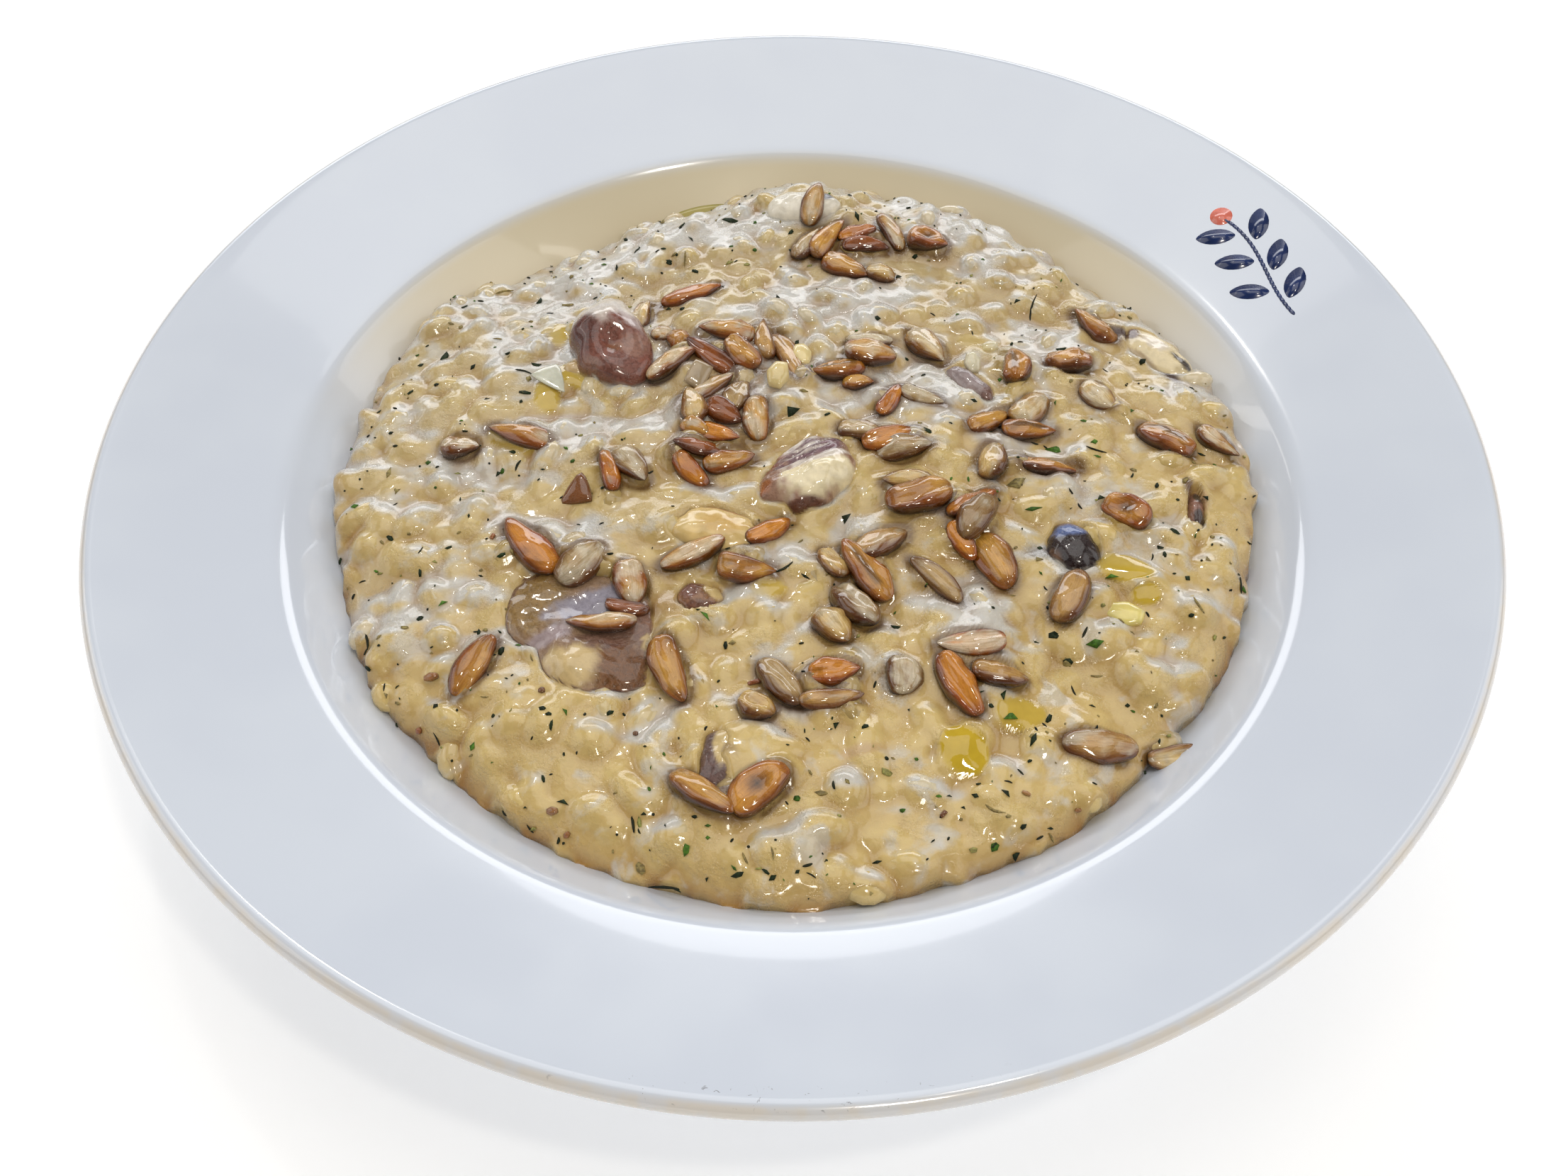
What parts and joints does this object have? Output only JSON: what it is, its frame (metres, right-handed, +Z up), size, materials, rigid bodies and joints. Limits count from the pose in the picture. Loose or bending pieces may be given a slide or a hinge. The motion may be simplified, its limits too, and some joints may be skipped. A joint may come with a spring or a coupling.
{
  "type": "plate of mushroom risotto",
  "caption": "Creamy mushroom risotto with toasted sunflower kernels, chopped herbs and oil, served in a deep porcelain plate with a wide flat rim.",
  "frame": {"origin": "on the table, at the middle of the plate's foot ring", "axes": "+Z up, -Y towards the diner, +X to the diner's right"},
  "size_m": [0.24, 0.24, 0.038],
  "materials": {
    "porcelain": "smooth clear glaze over white porcelain",
    "risotto_cream": "moist glossy cream",
    "mushroom": "moist cooked mushroom",
    "rice": "moist cooked rice",
    "kernel": "toasted and lightly oiled",
    "herb": "dry leaf",
    "oil": "clear liquid",
    "decor": "colour under a clear glaze"
  },
  "bodies": {
    "root": {"plate": "porcelain", "risotto": "risotto_cream", "mushroom_cap_left": "mushroom", "mushroom_slice_middle": "mushroom", "mushroom_cap_large": "mushroom", "mushroom_gills": "mushroom", "mushroom_slice_pale": "mushroom", "mushroom_cap_dark": "mushroom", "mushroom_piece_near": "mushroom", "mushroom_piece_far": "mushroom", "mushroom_slice_right": "mushroom", "mushroom_strip": "mushroom", "mushroom_bit_right": "mushroom"}
  },
  "joints": []
}
